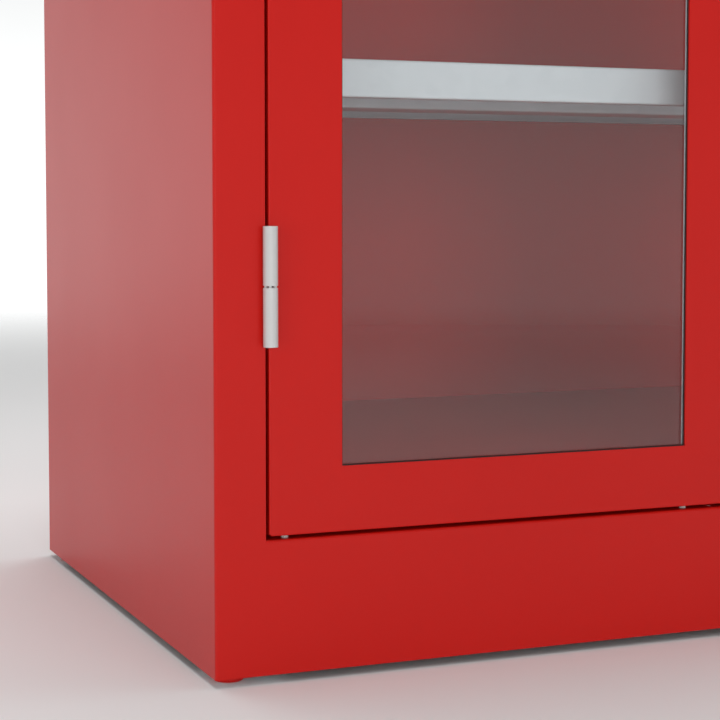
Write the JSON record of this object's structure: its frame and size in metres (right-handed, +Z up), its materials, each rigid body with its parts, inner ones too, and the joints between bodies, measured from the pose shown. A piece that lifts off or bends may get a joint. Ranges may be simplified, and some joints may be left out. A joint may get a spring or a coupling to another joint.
{
  "type": "heavy-duty storage cabinet",
  "caption": "Folded steel storage cabinet with glazed double doors on outside barrel hinges, a turn handle lock, an adjustable galvanised shelf and levelling feet.",
  "frame": {"origin": "middle of the whole outline on the floor, the handle's reach counted in", "axes": "+Z up, the doors face -Y, +X to the right as seen by someone facing the doors"},
  "size_m": [1, 0.638, 1],
  "materials": {
    "red_powder_coat": "smooth satin red powder coat",
    "galvanised_sheet": "galvanised sheet steel, light grey",
    "satin_hinge_steel": "satin steel",
    "bright_steel": "bright steel",
    "zinc_plated_steel": "zinc plated",
    "clear_pane": "clear, polished",
    "dark_rubber": "matt",
    "black_plastic": "matt",
    "pale_plastic": "matt",
    "red_foot": "satin red paint"
  },
  "bodies": {
    "cabinet": {"left_side_panel": "red_powder_coat", "right_side_panel": "red_powder_coat", "back_panel": "red_powder_coat", "top_panel": "red_powder_coat", "top_front_rail": "red_powder_coat", "front_plinth": "red_powder_coat", "floor_panel": "red_powder_coat", "left_door_jamb": "red_powder_coat", "right_door_jamb": "red_powder_coat", "foot_brackets": "galvanised_sheet", "foot_nuts": "zinc_plated_steel", "left_front_upright": "galvanised_sheet", "left_rear_upright": "galvanised_sheet", "right_front_upright": "galvanised_sheet", "right_rear_upright": "galvanised_sheet", "shelf_clips": "galvanised_sheet", "left_frame_hinge_barrels": "satin_hinge_steel", "right_frame_hinge_barrels": "satin_hinge_steel", "left_hinge_pins": "bright_steel", "right_hinge_pins": "bright_steel", "left_hinge_balls": "bright_steel", "right_hinge_balls": "bright_steel", "door_buffers": "dark_rubber", "door_glides": "pale_plastic"},
    "shelf": {"shelf_panel": "galvanised_sheet", "shelf_stiffener": "galvanised_sheet"},
    "left_door": {"left_door_panel": "red_powder_coat", "left_door_hinge_barrels": "satin_hinge_steel", "left_window_pane": "clear_pane", "left_window_gasket": "dark_rubber", "left_glazing_frame": "galvanised_sheet", "left_glazing_screws": "zinc_plated_steel", "left_bolt_guides": "black_plastic"},
    "upper_bolt": {"left_upper_bolt": "zinc_plated_steel"},
    "lower_bolt": {"left_lower_bolt": "zinc_plated_steel"},
    "right_door": {"right_door_panel": "red_powder_coat", "right_door_hinge_barrels": "satin_hinge_steel", "right_window_pane": "clear_pane", "right_window_gasket": "dark_rubber", "right_glazing_frame": "galvanised_sheet", "right_glazing_screws": "zinc_plated_steel", "right_rod_guides": "black_plastic", "lock_case": "zinc_plated_steel", "lock_case_screws": "zinc_plated_steel", "handle_rosette": "black_plastic"},
    "handle": {"handle_grip": "black_plastic", "handle_spindle": "zinc_plated_steel"},
    "key_plug": {"lock_plug": "bright_steel"},
    "upper_rod": {"upper_lock_rod": "zinc_plated_steel"},
    "lower_rod": {"lower_lock_rod": "zinc_plated_steel"},
    "front_left_foot": {"foot_front_left": "red_foot"},
    "front_right_foot": {"foot_front_right": "red_foot"},
    "rear_left_foot": {"foot_rear_left": "red_foot"},
    "rear_right_foot": {"foot_rear_right": "red_foot"}
  },
  "joints": [
    {"name": "left_door_swing", "type": "hinge", "parent": "cabinet", "child": "left_door", "pos_m": [-0.4547, -0.2873, 0], "axis": [0, 0, -1], "range_deg": [0, 180]},
    {"name": "right_door_swing", "type": "hinge", "parent": "cabinet", "child": "right_door", "pos_m": [0.4547, -0.2873, 0], "axis": [0, 0, 1], "range_deg": [0, 180]},
    {"name": "handle_turn", "type": "hinge", "parent": "right_door", "child": "handle", "pos_m": [0.03, -0.281, 0.536], "axis": [0, -1, 0], "range_deg": [0, 90]},
    {"name": "key_plug_turn", "type": "hinge", "parent": "handle", "child": "key_plug", "pos_m": [0.03, -0.281, 0.536], "axis": [0, -1, 0], "range_deg": [0, 90]},
    {"name": "upper_rod_slide", "type": "slide", "parent": "right_door", "child": "upper_rod", "axis": [0, 0, 1], "range_m": [0, 0.012]},
    {"name": "lower_rod_slide", "type": "slide", "parent": "right_door", "child": "lower_rod", "axis": [0, 0, -1], "range_m": [0, 0.012]},
    {"name": "upper_bolt_slide", "type": "slide", "parent": "left_door", "child": "upper_bolt", "axis": [0, 0, 1], "range_m": [0, 0.012]},
    {"name": "lower_bolt_slide", "type": "slide", "parent": "left_door", "child": "lower_bolt", "axis": [0, 0, -1], "range_m": [0, 0.012]},
    {"name": "shelf_lift", "type": "slide", "parent": "cabinet", "child": "shelf", "axis": [0, 0, 1], "range_m": [0, 0.03]},
    {"name": "front_left_foot_screw", "type": "slide", "parent": "cabinet", "child": "front_left_foot", "axis": [0, 0, -1], "range_m": [0, 0.015]},
    {"name": "front_right_foot_screw", "type": "slide", "parent": "cabinet", "child": "front_right_foot", "axis": [0, 0, -1], "range_m": [0, 0.015]},
    {"name": "rear_left_foot_screw", "type": "slide", "parent": "cabinet", "child": "rear_left_foot", "axis": [0, 0, -1], "range_m": [0, 0.015]},
    {"name": "rear_right_foot_screw", "type": "slide", "parent": "cabinet", "child": "rear_right_foot", "axis": [0, 0, -1], "range_m": [0, 0.015]}
  ],
  "couplings": [
    {"joint": "handle_turn", "follows": "upper_rod_slide", "rad_per_m": 130.9},
    {"joint": "lower_rod_slide", "follows": "upper_rod_slide", "ratio": 1}
  ]
}
